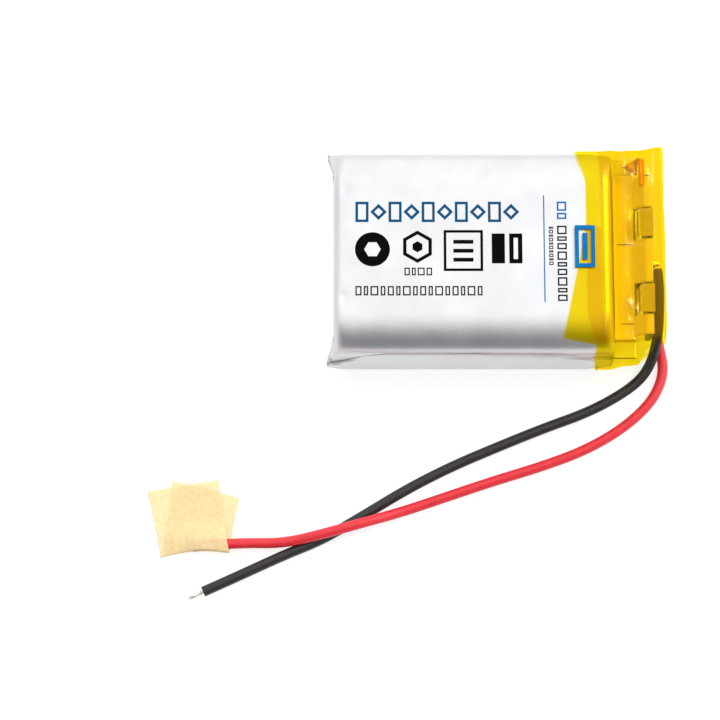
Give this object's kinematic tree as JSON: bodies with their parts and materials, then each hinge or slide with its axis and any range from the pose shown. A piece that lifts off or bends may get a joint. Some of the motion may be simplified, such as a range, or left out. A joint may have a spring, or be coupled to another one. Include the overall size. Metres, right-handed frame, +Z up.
{
  "type": "pouch battery cell",
  "caption": "Flat lithium-polymer pouch cell with a taped protection board at one end and red and black wire leads, for small portable electronics.",
  "frame": {"origin": "on the surface it lies on, under the middle of the cell (leads left out)", "axes": "+X along the cell towards the taped terminal end, +Y across it away from the leads, +Z up through the thickness"},
  "size_m": [0.0607, 0.0519, 0.0101],
  "materials": {
    "pouch_film": "satin silver-white laminate film",
    "polyimide_tape": "glossy translucent amber film",
    "insulating_paper": "matt white paper",
    "masking_tape": "creped cream paper",
    "winding_tape": "glossy green film",
    "separator": "matt white film",
    "cathode": "matt black coating on aluminium foil",
    "anode": "matt grey graphite coating on copper foil",
    "aluminium_tab": "bright rolled strip",
    "nickel": "bright rolled nickel",
    "tab_sealant": "translucent white film",
    "board_epoxy": "green solder mask on glass epoxy",
    "copper": "tinned copper pads",
    "chip_plastic": "black moulded epoxy",
    "ceramic_body": "tan fired ceramic",
    "tinned_metal": "tinned leads and end caps",
    "solder": "bright solder",
    "black_insulation": "semi-gloss black vinyl",
    "red_insulation": "semi-gloss red vinyl",
    "tinned_copper": "tinned copper strands"
  },
  "bodies": {
    "root": {"pouch_upper": "pouch_film", "pouch_lower": "pouch_film", "separator_inner": "separator", "separator_outer": "separator", "cathode_sheet": "cathode", "anode_sheet": "anode", "winding_tape": "winding_tape", "positive_tab": "aluminium_tab", "negative_tab": "nickel", "positive_tab_sealant": "tab_sealant", "negative_tab_sealant": "tab_sealant", "terrace_paper": "insulating_paper", "protection_board": "board_epoxy", "copper_pads": "copper", "nickel_plate_positive": "nickel", "nickel_plate_negative": "nickel", "mosfet_body": "chip_plastic", "mosfet_pins": "tinned_metal", "protection_chip_body": "chip_plastic", "protection_chip_pins": "tinned_metal", "chip_resistors": "chip_plastic", "chip_capacitor": "ceramic_body", "chip_end_caps": "tinned_metal", "black_solder_joint": "solder", "red_solder_joint": "solder", "polyimide_wrap": "polyimide_tape", "polyimide_patch": "polyimide_tape", "black_lead_core": "tinned_copper", "red_lead_core": "tinned_copper", "black_lead_jacket": "black_insulation", "red_lead_jacket": "red_insulation", "masking_tape_flag": "masking_tape"}
  },
  "joints": []
}
